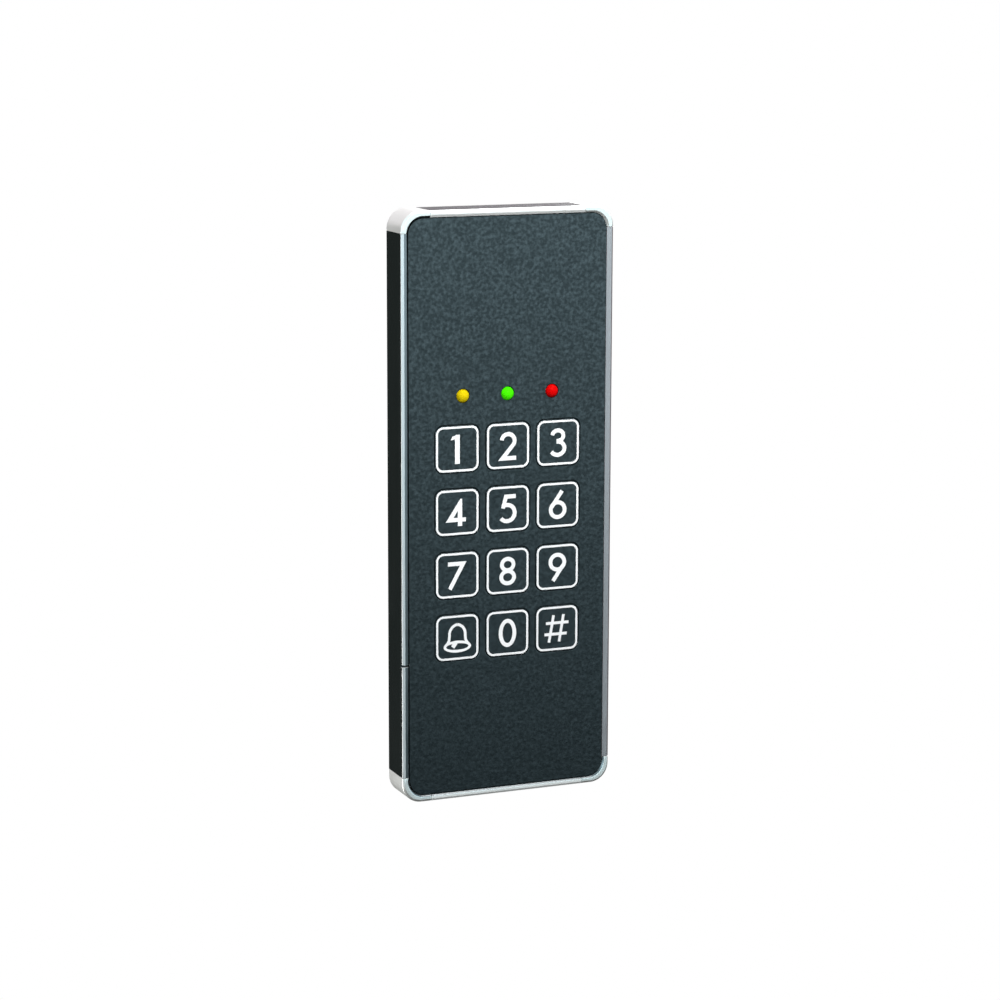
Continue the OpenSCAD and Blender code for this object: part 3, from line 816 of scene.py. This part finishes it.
outer_corner = 4.5
flat_corner = 4.15
opening_corner = 3.7
flat_end_cap = 1.15
lip_w = 1.6
lip_t = 1.25
cap_wall_t = 1.2
cap_metal_edge = 0.12
satin = grained_material(
    "satin metal", (0.72, 0.73, 0.7, 1), (0.93, 0.92, 0.9, 1), 0.36,
    grain=0.16, depth=0.006, metallic=0.6, wear=0.15)


def corner_path(half_w, half_h, radius, end_x, end_z, steps=16):
    """Plan points round a top right corner, from the top wall to the side wall."""
    x, z = half_w - radius, half_h - radius
    # where the cap is cut off inside the round corner, the arc stops at the cut
    cut = max(0.0, (end_z - z) / radius)
    return (
        [(end_x, half_h)]
        + arc((x, z), radius, 90, degrees(asin(cut)) + 1, steps)
        + [(x + radius * (1 - cut ** 2) ** 0.5, end_z)])


def shade_slope(cap_piece):
    """Gives the slope from the lip down to the panel the second finish, a painted shade."""
    for face in cap_piece.data.polygons:
        inward = -(face.center.x * face.normal.x + face.center.z * face.normal.z)
        if face.normal.y < -0.3 and inward > 0:
            face.material_index = 1


body_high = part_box("housing")[1]
half_w = body_high.x / mm
half_h = body_high.z / mm
inner_corner = outer_corner - cap_wall_t
for side_x, side in ((-1, "left"), (1, "right")):
    for side_z, end in ((1, "top"), (-1, "bottom")):
        name = f"corner_cap_{end}_{side}"
        low, high = (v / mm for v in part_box(name))
        back, front = -high.y, -low.y
        end_x = min(abs(low.x), abs(high.x))
        end_z = min(abs(low.z), abs(high.z))
        # each row is the distance in from the outside, the corner radius there and the distance
        # in front of the wall
        rows = [
            (0, outer_corner, back),
            (0, outer_corner, front - strip_rise),
            (strip_slope, outer_corner - strip_slope, front),
            (flat_end_cap, flat_corner, front),
            (lip_w, opening_corner, front - strip_drop),
            (lip_w, opening_corner, front - lip_t),
            (cap_wall_t, inner_corner, front - lip_t),
            (cap_wall_t, inner_corner, back)]
        paths = [
            [(side_x * x, -h, side_z * z)
             for x, z in corner_path(half_w - a, half_h - a, r, end_x, end_z)]
            for a, r, h in rows]
        cap_piece = loft(name + "_metal", list(zip(*paths)), cap_metal_edge)
        # painted shade on the slope down to the panel, on every cap but the top right one
        if name != "corner_cap_top_right":
            shade_slope(cap_piece)
        settle(cap_piece, [satin, slope_painted_shade], "reader", [name])

# ---------------------------------------------------------------------------
# Screws. Four small plated steel screws hold the main board on its standoffs, and a fifth
# goes up through the housing's tab into the wall plate and locks the reader on.

dress("board_screws", tin_material, 0.08)
dress("lock_screw", tin_material, 0.08)

# ---------------------------------------------------------------------------
# Studio: a plain pale floor, a white backdrop, soft lights and the camera in front, a little
# to the left of the reader and above it.

scene = bpy.context.scene
floor_mesh = bpy.data.meshes.new("floor")
reach = 40
floor_z = cad_low.z - 0.0002
floor_mesh.from_pydata(
    [(x, y, floor_z) for x, y in ((-reach, -reach), (reach, -reach), (reach, reach), (-reach, reach))],
    [], [(0, 1, 2, 3)])
floor = bpy.data.objects.new("floor", floor_mesh)
scene.collection.objects.link(floor)
floor_material = bpy.data.materials.new("pale floor")
floor_material.use_nodes = True
tree = floor_material.node_tree
tree.nodes.clear()
glow = node(tree, "ShaderNodeEmission", {"Color": (1, 1, 1, 1), "Strength": 1.0})
clear = node(tree, "ShaderNodeBsdfTransparent")
side = node(tree, "ShaderNodeNewGeometry")
# pale from above and clear from below
lit = node(tree, "ShaderNodeMixShader", {
    0: side.outputs["Backfacing"], 1: glow.outputs["Emission"], 2: clear.outputs["BSDF"]})
node(tree, "ShaderNodeOutputMaterial", {"Surface": lit.outputs["Shader"]})
floor_mesh.materials.append(floor_material)
for seen_by in ("visible_diffuse", "visible_glossy", "visible_transmission", "visible_shadow"):
    setattr(floor, seen_by, False)

world = bpy.data.worlds.new("studio")
scene.world = world
world.use_nodes = True
tree = world.node_tree
tree.nodes.clear()
ray = node(tree, "ShaderNodeLightPath")
place = node(tree, "ShaderNodeTexCoord")
direction = node(tree, "ShaderNodeSeparateXYZ", {"Vector": place.outputs["Generated"]})
# in front of the reader: dark below the horizon, bright above it and dimmer overhead
above = node(tree, "ShaderNodeMapRange", {
    "Value": direction.outputs["Z"], "From Min": -0.25, "From Max": -0.05,
    "To Min": 0.005, "To Max": 2.0}, interpolation_type="SMOOTHSTEP")
overhead = node(tree, "ShaderNodeMapRange", {
    "Value": direction.outputs["Z"], "From Min": 0.25, "From Max": 0.6,
    "To Min": 1.0, "To Max": 0.35}, interpolation_type="SMOOTHSTEP")
band = node(tree, "ShaderNodeMath", {
    0: above.outputs["Result"], 1: overhead.outputs["Result"]}, operation="MULTIPLY")
# behind it: nearly black below the horizon and soft above it
behind = node(tree, "ShaderNodeMapRange", {
    "Value": direction.outputs["Z"], "From Min": -0.02, "From Max": 0.2,
    "To Min": 0.02, "To Max": 0.75}, interpolation_type="SMOOTHSTEP")
ahead = node(tree, "ShaderNodeMapRange", {
    "Value": direction.outputs["Y"], "From Min": 0.3, "From Max": -0.4},
    interpolation_type="SMOOTHSTEP")
reflected = node(tree, "ShaderNodeMix", {
    "Factor": ahead.outputs["Result"], "A": behind.outputs["Result"], "B": band.outputs["Value"]},
    data_type="FLOAT")
hue = node(tree, "ShaderNodeMix", {
    "Factor": ahead.outputs["Result"], "A": (1, 0.93, 1, 1), "B": (0.62, 0.89, 1, 1)},
    data_type="RGBA")
mirrored = node(tree, "ShaderNodeBackground", {
    "Color": hue.outputs["Result"], "Strength": reflected.outputs["Result"]})
ambient = node(tree, "ShaderNodeBackground", {"Color": (0.96, 0.98, 1, 1), "Strength": 0.36})
white = node(tree, "ShaderNodeBackground", {"Color": (1, 1, 1, 1), "Strength": 1.0})
# polished surfaces mirror the bands, the rest is lit evenly, and the backdrop itself is white
unseen = node(tree, "ShaderNodeMixShader", {
    0: ray.outputs["Is Glossy Ray"],
    1: ambient.outputs["Background"], 2: mirrored.outputs["Background"]})
sky = node(tree, "ShaderNodeMixShader", {
    0: ray.outputs["Is Camera Ray"], 1: unseen.outputs["Shader"], 2: white.outputs["Background"]})
node(tree, "ShaderNodeOutputWorld", {"Surface": sky.outputs["Shader"]})


def soft_light(name, place, aim, wide, tall, watts, mirrored=True):
    """Rectangular softbox aimed at a point; unless mirrored, no polished surface shows it."""
    lamp = bpy.data.lights.new(name, "AREA")
    lamp.shape = "RECTANGLE"
    lamp.size, lamp.size_y = wide, tall
    lamp.energy = watts
    holder = bpy.data.objects.new(name, lamp)
    holder.location = place
    holder.rotation_euler = (Vector(aim) - Vector(place)).to_track_quat("-Z", "Y").to_euler()
    holder.visible_camera = False
    holder.visible_glossy = mirrored
    scene.collection.objects.link(holder)


soft_light("key softbox", (-0.02, -0.2, 0.19), (0, -0.01, 0.02), 0.2, 0.12, 0.9, mirrored=False)
soft_light("left softbox", (-0.8, 0.35, -0.4), (0, 0, 0), 0.6, 0.6, 8)
soft_light("top softbox", (0.25, 0.15, 0.9), (0, 0, 0), 0.8, 0.6, 7)
soft_light("rear softbox", (0.7, 0.8, 0.4), (0, 0, 0), 0.6, 0.6, 7)

azimuth = radians(-22.64)
elevation = radians(10.63)
roll = radians(0.16)
distance = 654.9 * mm
lens = 102.4
sensor = 36
# the view is centred this far to the right of, and above, the middle of the keypad
aim_right = -1.785 * mm
aim_up = 9.185 * mm
backward = Vector((sin(azimuth) * cos(elevation), -cos(azimuth) * cos(elevation), sin(elevation)))
level_right = Vector((0, 0, 1)).cross(backward).normalized()
level_up = backward.cross(level_right)
right = level_right * cos(roll) + level_up * sin(roll)
up = level_up * cos(roll) - level_right * sin(roll)
keypad_z = (middle("key_5")[1] + middle("key_8")[1]) / 2
keypad = Vector((0, -panel_front * mm, keypad_z * mm))
camera_data = bpy.data.cameras.new("camera")
camera_data.lens = lens
camera_data.sensor_width = sensor
camera_data.clip_start = 0.01
camera_data.clip_end = 200
camera = bpy.data.objects.new("camera", camera_data)
turn = Matrix((right, up, backward)).transposed()
stand = keypad + backward * distance + right * aim_right + up * aim_up
camera.matrix_world = Matrix.Translation(stand) @ turn.to_4x4()
scene.collection.objects.link(camera)
scene.camera = camera
scene.view_settings.view_transform = "Standard"
